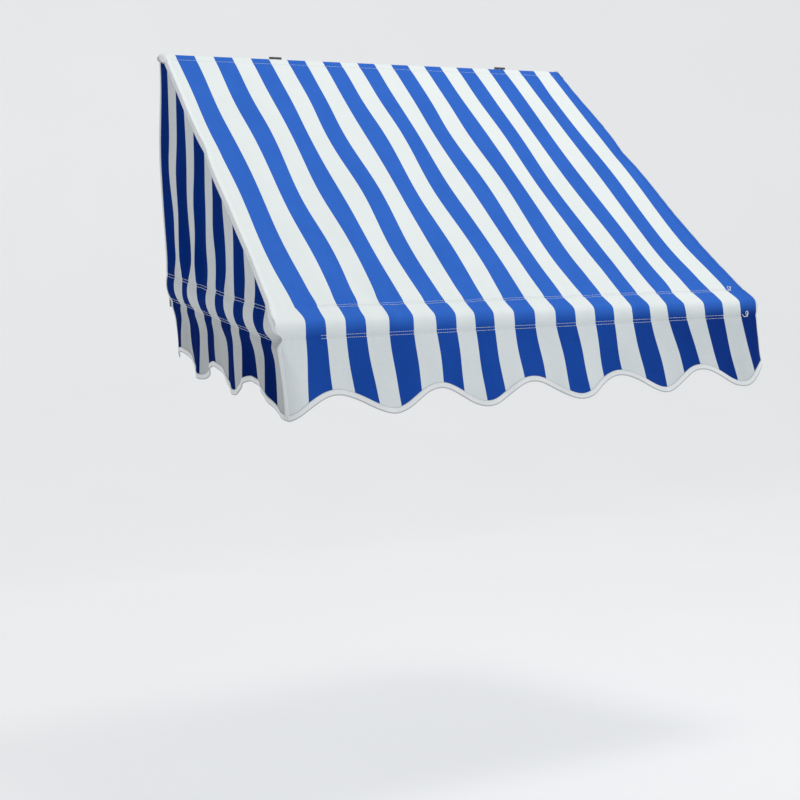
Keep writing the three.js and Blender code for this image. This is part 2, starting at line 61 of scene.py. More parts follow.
SOCKET_Y = -0.032
SOCKET_Z = -0.572
BRACKETS = (-0.270, 0.420)
STRIPE = 0.0508  # on roof and valance
WING_STRIPE = (PROJECTION - 0.010) / 12

# Turning points of the scallops, low and high by turns, as distances along each hem: from the left
# end of the valance, and from the front corner of each wing. The wings' last ones lie past the rear
# edge, further than in the CAD, so the tips there end higher.
FRONT_WAVE = np.array([0, .110, .240, .350, .460, .580, .695, .803, .915, 1.020, 1.135, 1.2192])
LEFT_WAVE = np.array([0, .205, .310, .415, .520, .640, .750])
RIGHT_WAVE = np.array([-.100, 0, .110, .215, .320, .425, .530, .640, .750])

# ---- how the cloth is drawn out of its flat shape, in metres ----
# Folds are rows of (depth, seed, wavelength one way, wavelength the other way).
ROOF_SAG = 0.0045
ROOF_CREASES = ((0.0022, 3, 0.17, 1.0), (0.0014, 4, 0.28, 0.33))
BAR_GATHERS = ((0.0010, 5, 0.060, 0.5), (0.0008, 7, 0.13, 0.4))
BAR_SWELL = 0.0055  # the roof stands off a little over the front bar
SEAM_RIDGE = 0.0018
SEAM_GROOVE = 0.0012
VALANCE_FOLDS = ((0.0050, 8, 0.16, 1.0), (0.0020, 9, 0.085, 0.5))
WING_SEED = {-1: 20, 1: 40}
WING_FOLDS = ((0.0085, 0, 0.125, 1.1),)
WING_GATHERS = ((0.0028, 1, 0.075, 0.45),)
SKIRT_FOLDS = ((0.0075, 3, 0.125, 1.5), (0.0026, 4, 0.06, 0.6))
FREE_HANG = 0.15  # length over which the free folds reach their full depth
MOST_HANG = 1.3  # they grow on below it, up to this many times
POCKET_ROUND = 0.0078  # the wing stands out over the arm
SKIRT_FALL = 0.0105  # and falls back in under it
SKIRT_CREASE = 0.0030
PUCKER = 0.0006
SWELL = {-1: 0.0115, 1: 0.0080}  # at the bend corners, by side
DIMPLE = {-1: 0.0190, 1: 0.0}  # under them
CORNER_TIGHT = 0.003
CORNER_ROUND = {-1: 0.046, 1: 0.034}
LEAST_FLARE = 0.001
MOST_FLARE = 0.018

# ---- directions of the roof ----
ROOF_LEN = math.hypot(BAR_Y - HEAD_Y, BAR_Z)
DIR = np.array([BAR_Y - HEAD_Y, BAR_Z]) / ROOF_LEN
TILT = -math.asin((R_HEAD - R_BAR) / ROOF_LEN)
NRM = np.array([
    DIR[1] * math.cos(TILT) + DIR[0] * math.sin(TILT),
    DIR[1] * math.sin(TILT) - DIR[0] * math.cos(TILT),
])
NRM_ANGLE = math.atan2(NRM[1], NRM[0])


def mix(a, b, t):
    return a + (b - a) * t


def smooth(a, b, x):
    """0 at a, 1 at b and beyond, and the curve 3t^2 - 2t^3 between."""
    t = np.clip((x - a) / (b - a), 0, 1)
    return t * t * (3 - 2 * t)


def bump(x, width):
    """Bell curve exp(-(x/width)^2)."""
    return np.exp(-(x / width) ** 2)


def folds(a, b, seed, size_a, size_b, n=7):
    """Smooth uneven ripple, about -1 to 1: the mean of n sines with random phases, whose
    wavelengths along a and b spread around size_a and size_b."""
    rng = np.random.default_rng(seed)
    out = 0
    for _ in range(n):
        ka = rng.uniform(0.6, 1.5) / size_a
        kb = rng.uniform(-1.3, 1.3) / size_b
        out = out + np.sin(2 * np.pi * (ka * a + kb * b) + rng.uniform(0, 6.3))
    return out / n * 1.6


def ripples(a, b, table, seed=0):
    """Sum of folds, one for each (depth, seed, wavelength along a, wavelength along b) of a table."""
    return sum(depth * folds(a, b, seed + own, size_a, size_b) for depth, own, size_a, size_b in table)


def wave(table, s):
    """Scallop height, 0 at the even turning points and 1 at the odd ones: half a cosine between
    neighbours."""
    k = np.interp(s, table, np.arange(len(table)))
    return 0.5 - 0.5 * np.cos(np.pi * k)


def front_hem(x):
    return -DROP - VALANCE + SCALLOP * wave(FRONT_WAVE, x + FRONT_HALF)


def wing_hem(side, y):
    s = PROJECTION + y
    table = LEFT_WAVE if side < 0 else RIGHT_WAVE
    return -DROP - VALANCE + SCALLOP * wave(table, s) + REAR_RISE * s / PROJECTION


def roof_under(y):
    """Height of the roof's inner face at distance y: level behind the head bar's axis, the arc over
    the head bar, the straight roof, the arc over the front bar."""
    y = np.asarray(y, float)
    y0, z0 = HEAD_Y + R_HEAD * NRM[0], R_HEAD * NRM[1]
    y1, z1 = BAR_Y + R_BAR * NRM[0], BAR_Z + R_BAR * NRM[1]
    arc = np.sqrt(np.maximum(R_HEAD ** 2 - (y - HEAD_Y) ** 2, 0))
    end = BAR_Z + np.sqrt(np.maximum(R_BAR ** 2 - (y - BAR_Y) ** 2, 0))
    line = mix(z0, z1, (y - y0) / (y1 - y0))
    return np.where(y >= HEAD_Y, R_HEAD, np.where(y > y0, arc, np.where(y > y1, line, end)))


# ---- the canopy's cross-section ----
WRAP_START = -2.0  # angle round the head bar, in radians, where the cloth begins
BELOW_BAR = 0.3  # the section is drawn on well past the hem


def cross_section():
    """Rows of the panel's mid line, from the end of the head pocket to well below the front bar, as
    distance s down the cloth (0 where the roof leaves the head bar), y, z, angle of the normal and
    half width; with them the s of the last roof row and of the row where the cloth hangs free. Arc
    round the head bar, straight roof, arc round the front bar, straight drop."""
    head_turn = np.linspace(WRAP_START, NRM_ANGLE, 60)
    front_turn = np.linspace(NRM_ANGLE, np.pi, 24)
    down = np.linspace(0, 1, 120)[1:-1, None]
    r0, r1 = R_HEAD + CLOTH / 2, R_BAR + CLOTH / 2
    leaving = np.clip((head_turn - np.pi / 2) / (NRM_ANGLE - np.pi / 2), 0, 1)
    head = np.stack([
        HEAD_Y + r0 * np.cos(head_turn),
        r0 * np.sin(head_turn),
        head_turn,
        mix(WRAP_HALF, TOP_HALF, leaving),
    ], 1)
    front = np.stack([
        BAR_Y + r1 * np.cos(front_turn),
        BAR_Z + r1 * np.sin(front_turn),
        front_turn,
        0 * front_turn + FRONT_HALF,
    ], 1)
    low = np.array([[front[-1, 0], BAR_Z - BELOW_BAR, np.pi, FRONT_HALF]])
    rows = np.concatenate([head, mix(head[-1], front[0], down), front, low])
    s = np.concatenate([[0], np.cumsum(np.hypot(*np.diff(rows[:, :2], axis=0).T))])
    s = s - s[len(head) - 1]
    return np.column_stack([s, rows]), s[len(head) + len(down)], s[-2]


SECTION, S_ROOF, S_BEND = cross_section()
S_TOP = SECTION[0, 0]
S_HEAD_ROW = 0.017  # the head pocket's row of stitches
S_UP = S_ROOF - 0.041  # the double rows of the front pocket, above the bar
S_LOW = S_BEND + 0.026  # and below it
ROW_GROOVES = ((S_UP, 0.0012), (S_LOW, 0.0014), (S_HEAD_ROW, 0.0006))
FRONT_PLANE = PROJECTION - CLOTH / 2


def half_width(s):
    return np.interp(s, SECTION[:, 0], SECTION[:, 4])


def section_at(s):
    """Depth y, height z and angle of the normal at distances s down the cloth."""
    return (np.interp(s, SECTION[:, 0], SECTION[:, k]) for k in (1, 2, 3))


def hang(z):
    """How far down the valance or skirt a height is: 0 at the bend, 1 at the deepest scallop."""
    return np.clip((BAR_Z - z) / VALANCE, 0, 1.1)


def corner_radius(side, z):
    """Radius of the soft corner between valance and wing: tight at the bend, wide at the hem."""
    return CORNER_TIGHT + CORNER_ROUND[side] * smooth(0.05, 0.75, hang(z))


def corner_swell(side, y, z):
    """Outward push at the bend corner, where the elbow stands in the cloth, and on the left the
    dimple drawn in under it: two bells of the distance from the corner."""
    ahead = y - BAR_Y - 0.010
    near = np.hypot(ahead / 1.3, z - BAR_Z - 0.006)
    under = np.hypot(ahead / 2.6, z - BAR_Z + 0.025)
    return SWELL[side] * bump(near, 0.030) - DIMPLE[side] * bump(under, 0.0115)


def seam_wander(side, y):
    """The roof's side seam isn't quite straight: a slow ripple and one pinch part of the way down."""
    held = smooth(0, 0.06, -y) * smooth(0, 0.06, y + PROJECTION)
    pinch = 0.0040 * bump(y + 0.30, 0.022)
    return held * (0.0022 * folds(y, y * 0, 30 + side, 0.22, 1.0) - pinch)


def for_side(x, value, *place):
    """What value(side, *place) gives for the side of the middle that each x is on."""
    return np.where(x < 0, value(-1, *place), value(1, *place))


def flare(x, z):
    """How far the valance stands out from upright, growing down the cloth and towards the right."""
    return mix(LEAST_FLARE, MOST_FLARE, smooth(-0.3, 0.6, x)) * hang(z) ** 1.2


def skew(x, z):
    """How far the cloth is drawn to the right: a little near the bend, more down the valance, most
    at the right corner."""
    at_bend = 0.016 * smooth(-0.55, -0.71, z) * smooth(-0.10, 0.60, x)
    at_hem = 0.014 * smooth(-0.61, -0.48, x) + 0.008 * smooth(-0.45, 0.60, x)
    return at_bend + at_hem * hang(z)


def canopy_push(x, s):
    """Distance of the cloth off its smooth cross-section, along the normal: a sag sin(pi s / roof),
    long creases and gathers that fade out at the side seams, a swell over the front bar, a ridge and
    groove beside each seam, grooves and fine puckers at the rows of stitches, and folds that grow
    down the valance."""
    from_edge = half_width(s) - np.abs(x)
    inner = smooth(0.0, 0.09, from_edge)
    on_roof = smooth(0.0, 0.12, s) * (1 - smooth(S_ROOF - 0.10, S_ROOF, s))
    sag = ROOF_SAG * np.sin(np.pi * np.clip(s / S_ROOF, 0, 1))
    d = on_roof * inner * (ripples(x, s, ROOF_CREASES) - sag)
    near_bar = smooth(S_ROOF - 0.20, S_ROOF - 0.03, s) * (1 - smooth(S_BEND, S_BEND + 0.02, s))
    d = d + near_bar * inner * ripples(x, s, BAR_GATHERS)
    d = d + BAR_SWELL * bump(s - (S_ROOF + S_BEND) / 2, 0.028)
    seamed = smooth(-0.01, 0.02, s) * (1 - smooth(S_ROOF - 0.03, S_ROOF + 0.01, s))
    ridge = SEAM_RIDGE * (1 - smooth(0.006, 0.011, from_edge))
    d = d + seamed * (ridge - SEAM_GROOVE * bump(from_edge - 0.0125, 0.0025))
    crease = folds(x, x * 0, 6, 0.09, 1.0)
    pucker = 0.55 + 0.45 * np.sin(2 * np.pi * x / 0.017 + 1.5 * crease)
    for line, depth in ROW_GROOVES:
        d = d - depth * bump(s - line, 0.0045) - 0.0007 * pucker * bump(s - line, 0.012)
    down = np.clip((s - S_LOW) / FREE_HANG, 0, MOST_HANG)
    free = smooth(0.0, 0.07, from_edge)
    return d + down * free * ripples(x, s, VALANCE_FOLDS)


def canopy_at(x, s, off=0.0):
    """Points of the canopy panel at x across and s down the cloth, off its mid surface. The
    cross-section is pushed along its normal; the seams wander and swell with the wings; below
    the bend each end turns through 45 degrees on the corner radius, where it meets the wing."""
    x, s = np.broadcast_arrays(np.asarray(x, float), np.asarray(s, float))
    y, z, a = section_at(s)
    push = canopy_push(x, s) + off
    radius = for_side(x, corner_radius, z)
    turn = np.pi / 4 * np.clip((np.abs(x) - FRONT_HALF + radius) / radius, 0, 1) * (s > S_BEND)
    across = np.where(turn > 0, FRONT_HALF - radius + radius * np.sin(turn), np.abs(x))
    edge = smooth(0.055, 0.0, half_width(s) - np.abs(x))
    across = across + edge * (for_side(x, corner_swell, y, z) + for_side(x, seam_wander, y))
    y = y + radius * (1 - np.cos(turn)) - flare(x, z)
    return np.stack([
        np.sign(x) * (across + push * np.sin(turn)) + skew(x, z),
        y + push * np.cos(turn) * np.cos(a),
        z + push * np.cos(turn) * np.sin(a),
    ], -1)


# ---- the wings ----
ROW_GAP = 0.0032  # half the distance between the two rows of a double row
ARM_ROWS = (0.0305, -0.0310)  # double rows above and below the arm


def arm_line(y):
    """Height of the arm's axis at distance y."""
    return mix(SOCKET_Z, BAR_Z, (y - SOCKET_Y) / (BAR_Y - SOCKET_Y))


def wing_push(side, y, z):
    """How far a wing stands out from its leaning plane: broad upright folds that grow down to the
    arm, the round of the pocket over the arm, a crease under it where the skirt falls back inwards,
    and folds that grow down the skirt."""
    q = z - arm_line(y)
    seed = WING_SEED[side]
    top = roof_under(y) - z
    low = smooth(0.0, 0.22, top)
    gathered = smooth(0.0, 0.07, q) * (1 - smooth(0.10, 0.30, q))
    d = low * smooth(0.02, 0.09, q) * ripples(y, z, WING_FOLDS, seed)
    d = d + low * gathered * ripples(y, z, WING_GATHERS, seed)
    uneven = 1 + 0.30 * folds(y, z, seed + 5, 0.11, 0.3)
    middle = q - 0.002
    round_arm = np.where(middle > 0, bump(middle, 0.045), bump(middle, 0.026))
    d = d + POCKET_ROUND * round_arm * uneven * smooth(0.0, 0.10, top)
    d = d - SKIRT_FALL * smooth(-0.014, -0.085, q) * uneven - SKIRT_CREASE * bump(q + 0.036, 0.008)
    pucker = PUCKER * (1 + np.sin(2 * np.pi * y / 0.024 + 2 * folds(y, y * 0, seed + 2, 0.1, 1)))
    upper, lower = (q - row for row in ARM_ROWS)
    d = d - 0.0012 * bump(upper, 0.0060) - pucker * (bump(upper, 0.013) + bump(lower, 0.013))
    skirt = np.clip(-lower / FREE_HANG, 0, MOST_HANG)
    return d + skirt * ripples(y, z, SKIRT_FOLDS, seed)


def wing_at(side, y, z, off=0.0):
    """Points of a wing at depth y and height z, off its mid surface: its leaning plane with
    wing_push, held at the roof seam and the front corner, whose swell, wander, flare and soft radius
    it shares with the canopy panel."""
    y, z = np.broadcast_arrays(np.asarray(y, float), np.asarray(z, float))
    edge = mix(TOP_HALF, FRONT_HALF, np.clip((y - HEAD_Y) / (BAR_Y - HEAD_Y), 0, 1)) - 0.001
    full = mix(WALL_HALF, FRONT_HALF - 0.0008, np.clip(-y / PROJECTION, 0, 1))
    below = roof_under(y) - z
    x = mix(edge, full, smooth(0, 0.30, below)) - CLOTH / 2
    loose = smooth(0.0, 0.05, below) * smooth(0.0, 0.075, y + PROJECTION)
    x = x + wing_push(side, y, z) * loose + corner_swell(side, y, z)
    x = x + seam_wander(side, y) * (1 - smooth(0.0, 0.12, below))
    radius = corner_radius(side, z)
    turn = np.pi / 4 * np.clip((radius - y - FRONT_PLANE) / radius, 0, 1) * smooth(0, 0.002, BAR_Z - z)
    x = x - radius * (1 - np.cos(turn)) + off * np.cos(turn)
    y = np.where(turn > 0, radius - FRONT_PLANE - radius * np.sin(turn), y) - off * np.sin(turn)
    y = y - flare(side * FRONT_HALF, z) * smooth(-0.50, -0.69, y)
    forward = mix(0.35, 1.0, smooth(-0.25, -0.65, y))
    return np.stack([side * x + skew(side * FRONT_HALF, z) * forward, y, z], -1)


def unit(v):
    return v / np.maximum(np.linalg.norm(v, axis=-1, keepdims=True), 1e-12)


def normal_of(surface, *place):
    """Unit normal of a cloth at a place, from the points a little off it on both faces."""
    return unit(surface(*place, 0.001) - surface(*place, -0.001))


# ---- mesh building ----
def piece(name, points, quads, material, slot, uv=None):
    """Smooth mesh object at the origin from arrays of points and quads; uv gives each point's place
    on the cloth."""
    points = np.asarray(points, np.float32).reshape(-1, 3)
    quads = np.asarray(quads, np.int32)
    mesh = bpy.data.meshes.new(name)
    mesh.vertices.add(len(points))
    mesh.vertices.foreach_set("co", points.ravel())
    mesh.loops.add(quads.size)
    mesh.loops.foreach_set("vertex_index", quads.ravel())
    mesh.polygons.add(len(quads))
    mesh.polygons.foreach_set("loop_start", np.arange(0, quads.size, 4, dtype=np.int32))
    mesh.polygons.foreach_set("loop_total", np.full(len(quads), 4, np.int32))
    mesh.polygons.foreach_set("use_smooth", np.ones(len(quads), bool))
    if uv is not None:
        layer = mesh.uv_layers.new(name="cloth")
        layer.data.foreach_set("uv", np.asarray(uv, np.float32).reshape(-1, 2)[quads.ravel()].ravel())
    mesh.update(calc_edges=True)
    mesh.materials.append(material)
    obj = bpy.data.objects.new(name, mesh)
    bpy.context.scene.collection.objects.link(obj)
    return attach(obj, "root")


def turned_out(points, quads):
    """Quads turned over when the enclosed volume, the sum of p0 . (p1 x p2) over their halves, comes
    out negative."""
    a, b, c, d = (points.reshape(-1, 3)[quads[:, k]] for k in range(4))
    volume = np.sum(a * np.cross(b, c)) + np.sum(a * np.cross(c, d))
    return quads if volume > 0 else quads[:, ::-1]


def shell(outer, inner, keep=None):
    """Closed skin of two grids of points: the outer grid, the inner grid turned round, and a rim
    wherever a kept cell has no kept neighbour."""
    nu, nv = outer.shape[0] - 1, outer.shape[1] - 1
    keep = np.ones((nu, nv), bool) if keep is None else keep
    at = np.arange((nu + 1) * (nv + 1)).reshape(nu + 1, nv + 1)
    face = np.stack([at[:-1, :-1], at[1:, :-1], at[1:, 1:], at[:-1, 1:]], -1)[keep]
    around = np.pad(keep, 1)
    rims = []
    for neighbour, a, b in (
        (around[:-2, 1:-1], at[:-1, 1:], at[:-1, :-1]),
        (around[2:, 1:-1], at[1:, :-1], at[1:, 1:]),
        (around[1:-1, :-2], at[:-1, :-1], at[1:, :-1]),
        (around[1:-1, 2:], at[1:, 1:], at[:-1, 1:]),
    ):
        gone = keep & ~neighbour
        rims.append(np.stack([b[gone], a[gone], a[gone] + at.size, b[gone] + at.size], -1))
    points = np.concatenate([outer.reshape(-1, 3), inner.reshape(-1, 3)])
    quads = np.concatenate([face, face[:, ::-1] + at.size, *rims])
    return points, turned_out(points, quads)


def used_only(points, quads, more):
    """The same mesh, and an array that goes with its points, without points that no face uses."""
    keep = np.zeros(len(points), bool)
    keep[quads.ravel()] = True
    number = np.cumsum(keep) - 1
    return points[keep], number[quads], more[keep]


def tube_of(rings):
    """Closed skin through rings of points of equal count: quads between neighbours, and each end
    sewn shut across the ring."""
    m, n = rings.shape[:2]
    at = np.arange(m * n).reshape(m, n)
    after = np.roll(at, -1, axis=1)
    body = np.stack([at[:-1], after[:-1], after[1:], at[1:]], -1).reshape(-1, 4)
    k = np.arange(n // 2 - 1)
    end = np.stack([k, n - 1 - k, n - 2 - k, k + 1], -1)
    quads = np.concatenate([body, end[:, ::-1], end + (m - 1) * n])
    points = rings.reshape(-1, 3)
    return points, turned_out(points, quads)


def gather(parts):
    """Several point and quad arrays as one."""
    points, quads = zip(*parts)
    start = np.cumsum([0] + [len(p) for p in points[:-1]])
    return np.concatenate(points), np.concatenate([q + n for q, n in zip(quads, start)])


def distances(path):
    """Distance of each point of a path from its start, along the path."""
    return np.concatenate([[0], np.cumsum(np.linalg.norm(np.diff(path, axis=0), axis=1))])


def stitches(line, normal, radius=0.00052):
    """Threads along a line of points: each is a short capsule whose ends dip into the cloth, six
    rings of six points."""
    pitch, length, count = 0.0046, 0.0036, 6
    step = distances(line)
    at = np.arange(pitch, step[-1] - pitch, pitch)

    def place(s, row):
        return np.stack([np.interp(s, step, row[:, k]) for k in range(3)], -1)

    centre = place(at, line)[:, None, None]
    lie = unit(place(at + length / 2, line) - place(at - length / 2, line))
    up = unit(place(at, normal))
    across = np.cross(up, lie)[:, None, None]
    u = np.linspace(-1, 1, count)[:, None, None]
    a = (np.arange(count) * 2 * np.pi / count)[:, None]
    thick = radius * np.sqrt(np.maximum(1 - u**4, 0.05))
    rise = radius * (0.7 - 1.6 * u**4) + thick * np.sin(a)
    ring = centre + lie[:, None, None] * u * length / 2
    ring = ring + up[:, None, None] * rise + across * thick * np.cos(a)
    one = count * count
    index = np.arange(one).reshape(count, count)
    after = np.roll(index, -1, axis=1)
    body = np.stack([index[:-1], after[:-1], after[1:], index[1:]], -1).reshape(-1, 4)
    near_end = np.array([[3, 2, 1, 0], [5, 4, 3, 0]])
    far_end = np.array([[0, 1, 2, 3], [0, 3, 4, 5]]) + one - count
    points = ring.reshape(-1, 3)
    quads = turned_out(points[:one], np.concatenate([body, near_end, far_end]))
    return points, (quads[None] + (np.arange(len(at)) * one)[:, None, None]).reshape(-1, 4)


def thread_tail(start, along, up, turns, size=0.0085, radius=0.0007):
    """Loose end of a row of stitches: a little thread that leaves the cloth, curls round in an open
    loop and comes back."""
    t = np.linspace(0, 1, 40)[:, None]
    across = np.cross(up, along)
    a = 2 * np.pi * turns * t
    path = start + along * size * (t * 1.6 + 0.8 * np.sin(a))
    path = path + across * size * 0.8 * (1 - np.cos(a)) * np.sign(turns)
    path = path + up * (0.0006 + 0.0022 * np.sin(np.pi * t))
    lie = unit(np.gradient(path, axis=0))
    side = unit(np.cross(lie, np.broadcast_to(up, lie.shape)))
    ring = np.linspace(0, 2 * np.pi, 8, endpoint=False)[:, None]
    outline = side[:, None] * np.cos(ring) + np.cross(side, lie)[:, None] * np.sin(ring)
    return tube_of(path[:, None] + outline * radius)


# ---- shader writing ----
class Value:
    """A number in a material: Python's operators on it add Math nodes."""

    def __init__(self, tree, socket):
        self.tree = tree
        self.socket = socket

    def maths(self, operation, *values):
        return add_node(self.tree, "ShaderNodeMath", {"operation": operation}, values)

    def __add__(self, other):
        return self.maths("ADD", self, other)

    def __sub__(self, other):
        return self.maths("SUBTRACT", self, other)

    def __rsub__(self, other):
        return self.maths("SUBTRACT", other, self)

    def __mul__(self, other):
        return self.maths("MULTIPLY", self, other)

    __radd__ = __add__
    __rmul__ = __mul__

    def sine(self):
        return self.maths("SINE", self)

    def clamp(self):
        return add_node(self.tree, "ShaderNodeClamp", {}, [self, 0.0, 1.0])

    def ramp(self, low, high):
        """0 below low, 1 above high and a smooth step between."""
        settings = {"interpolation_type": "SMOOTHSTEP"}
        return add_node(self.tree, "ShaderNodeMapRange", settings, {0: self, 1: low, 2: high, 3: 0.0, 4: 1.0})


def add_node(tree, kind, settings, values, out=0):
    """Adds a node of that kind, makes its settings, gives its inputs their values or links, and
    returns one output."""
    node = tree.nodes.new(kind)
    for key, value in settings.items():
        setattr(node, key, value)
    for key, value in values.items() if isinstance(values, dict) else enumerate(values):
        if isinstance(value, Value):
            tree.links.new(value.socket, node.inputs[key])
        else:
            node.inputs[key].default_value = value
    return Value(tree, node.outputs[out])


class Finish:
    """A material under construction: its node tree and Principled shader."""

    def __init__(self, name, **constants):
        self.material = bpy.data.materials.new(name)
        self.material.use_nodes = True
        self.tree = self.material.node_tree
        self.tree.nodes.clear()
        self.shader = self.tree.nodes.new("ShaderNodeBsdfPrincipled")
        end = self.tree.nodes.new("ShaderNodeOutputMaterial")
        self.tree.links.new(self.shader.outputs[0], end.inputs[0])
        for key, value in constants.items():
            self.shader.inputs[key.replace("_", " ")].default_value = value

    def node(self, kind, settings, values, out=0):
        return add_node(self.tree, kind, settings, values, out)

    def place(self):
        """Object coordinates, in metres."""
        return self.node("ShaderNodeTexCoord", {}, {}, out=3)

    def on_cloth(self):
        """The UV map named cloth."""
        return self.node("ShaderNodeUVMap", {"uv_map": "cloth"}, {})

    def part(self, vector, k):
        """One number of a vector: 0 is its x or U, 1 its y or V."""
        return self.node("ShaderNodeSeparateXYZ", {}, [vector], out=k)

    def stretched(self, vector, x, y, z=1.0):
        return self.node("ShaderNodeVectorMath", {"operation": "MULTIPLY"}, [vector, (x, y, z)])

    def noise(self, vector, scale, detail=3.0, rough=0.5):
        values = {"Vector": vector, "Scale": scale, "Detail": detail, "Roughness": rough}
        return self.node("ShaderNodeTexNoise", {}, values)

    def blend(self, factor, a, b):
        return self.node("ShaderNodeMix", {"data_type": "RGBA"}, {0: factor, 6: a, 7: b}, out=2)

    def bump(self, height, distance, strength):
        values = {"Strength": strength, "Distance": distance, "Height": height}
        return self.node("ShaderNodeBump", {}, values)

    def done(self, **links):
        for key, value in links.items():
            self.tree.links.new(value.socket, self.shader.inputs[key.replace("_", " ")])
        return self.material


# ---- finishes ----
def rgb(red, green, blue):
    return (red, green, blue, 1.0)


def dye_and_shade(dark_blue, light_blue, dark_white, light_white):
    """The four tones of a striped cloth, each given as red, green and blue: the dye colour, darkened by
    painted shade in the shaded copies.
    """
    return tuple(rgb(*tone) for tone in (dark_blue, light_blue, dark_white, light_white))


# Lit and shaded copies of one cloth: the roof's tones as lit, then painted shade for the valance, for the
# valance's right end, for the wing above the arm and, darkest, for the wing's skirt.
LIT_ROOF_TONES = dye_and_shade((0.024, 0.125, 0.545), (0.044, 0.178, 0.700), (0.830, 0.890, 0.885), (0.930, 0.965, 0.960))
SHADY = dye_and_shade((0.004, 0.048, 0.300), (0.014, 0.084, 0.430), (0.650, 0.705, 0.720), (0.800, 0.840, 0.850))
SHADED_RIGHT_VALANCE_TONES = dye_and_shade((0.001, 0.018, 0.153), (0.003, 0.034, 0.238), (0.540, 0.590, 0.610), (0.680, 0.730, 0.750))
SHADED_UPPER_WING_TONES = dye_and_shade((0.001, 0.016, 0.135), (0.002, 0.034, 0.245), (0.550, 0.585, 0.605), (0.735, 0.765, 0.785))
SKIRT = dye_and_shade((0.0005, 0.009, 0.082), (0.001, 0.020, 0.160), (0.420, 0.442, 0.455), (0.572, 0.598, 0.612))
EDGE_SHARPNESS = 24.0  # of the stripes: the sine is cut off this steeply
THREADS = 620  # noise cells a metre across a thread
THREAD_RUN = 11  # and along it


def striped_cloth(name, tones, painted_shade=None, painted_shade_right=None, gloss=0.06):
    """Woven cloth in stripes: on the UV map, U counts stripes, the odd ones blue, and V is metres along them.
    tones holds the dark and light blue and the dark and light white; the next argument, if given, is another
    such four with painted shade and the V range over which they take over, and the one after it a third four
    with more painted shade for that lower part, with its U range. A mottle, streaks along both threads and a
    fine weave vary colour and bump."""
    finish = Finish(name, Specular_IOR_Level=gloss)
    uv = finish.on_cloth()
    across = finish.part(uv, 0)
    down = finish.part(uv, 1)
    cloth = finish.stretched(uv, STRIPE, 1.0)
    mottle = finish.noise(cloth, 7.0, 4.0, 0.6)
    warp = finish.noise(finish.stretched(cloth, THREADS, THREAD_RUN), 1.0, 2.0)
    weft = finish.noise(finish.stretched(cloth, THREAD_RUN, THREADS), 1.0, 2.0)
    speckle = finish.noise(cloth, 420.0, 2.0, 0.6)
    tone = (mottle * 0.9 + warp * 0.35 + weft * 0.30 + speckle * 0.55 - 0.55).clamp()
    tooth = (finish.noise(finish.stretched(cloth, 240, 900), 1.0, 2.0) - 0.5) * 0.014
    blue = (0.5 - ((across + tooth) * math.pi).sine() * EDGE_SHARPNESS).clamp()

    def dyed_and_shaded(four):
        dark_blue, light_blue, dark_white, light_white = four
        white_part = finish.blend(tone, dark_white, light_white)
        return finish.blend(blue, white_part, finish.blend(tone, dark_blue, light_blue))

    # Painted shade: the shaded copies of the tones take over down the cloth by V, and towards the right by U.
    colour = dyed_and_shaded(tones)
    if painted_shade:
        lower = dyed_and_shaded(painted_shade[0])
        if painted_shade_right:
            lower = finish.blend(across.ramp(*painted_shade_right[1]), lower, dyed_and_shaded(painted_shade_right[0]))
        colour = finish.blend(down.ramp(*painted_shade[1]), colour, lower)
    crumple = finish.noise(cloth, 24.0, 4.0, 0.6)
    height = warp * 0.25 + weft * 0.30 + speckle * 0.40 + crumple * 2.2
    normal = finish.bump(height, 0.0011, 0.45)
    return finish.done(Base_Color=colour, Roughness=0.70 + mottle * 0.16, Normal=normal)


def roof_cloth():
    """Bright on the roof; painted shade from the bend down, and more of it towards the right."""
    bend = (S_ROOF - 0.004, S_BEND + 0.030)
    return striped_cloth("roof_cloth", LIT_ROOF_TONES, (SHADY, bend), (SHADED_RIGHT_VALANCE_TONES, (12.0, 25.0)))


def wing_cloth():
    """Painted shade all over the wing: darkest in the skirt, deep above the arm."""
    return striped_cloth("wing_cloth", SKIRT, (SHADED_UPPER_WING_TONES, (-0.055, 0.010)), gloss=0.01)


def tape_cloth():
    """White woven binding tape: fine ribs and a soft mottle. On the UV map V is 0 at the fold and 1 at the
    sewn edges, and both have a thin grey line of painted shadow, where the tape turns under and where the
    stitches pull it into the cloth."""
    finish = Finish("binding_tape", Specular_IOR_Level=0.15)
    height = finish.part(finish.on_cloth(), 1)
    mottle = finish.noise(finish.place(), 34.0, 4.0)
    rib = finish.noise(finish.place(), 620.0, 1.0)
    tone = (mottle * 0.9 + rib * 0.4 - 0.15).clamp()
    colour = finish.blend(tone, rgb(0.74, 0.77, 0.785), rgb(0.90, 0.92, 0.93))
    # Painted shadow: a grey line along the fold and along the sewn edges.
    line = (height.ramp(0.84, 0.95) + (1 - height.ramp(0.03, 0.16))).clamp() * 0.62
    colour = finish.blend(line, colour, rgb(0.30, 0.31, 0.32))
    normal = finish.bump(rib * 0.5 + mottle, 0.0006, 0.5)
    return finish.done(Base_Color=colour, Roughness=0.70 + mottle * 0.16, Normal=normal)


def thread():
    """Twisted white thread."""
    finish = Finish("sewing_thread", Specular_IOR_Level=0.35)
    twist = finish.noise(finish.place(), 1400.0, 1.0)
    colour = finish.blend(twist, rgb(0.70, 0.74, 0.78), rgb(0.93, 0.94, 0.94))
    return finish.done(Base_Color=colour, Roughness=0.5 + twist * 0.2)


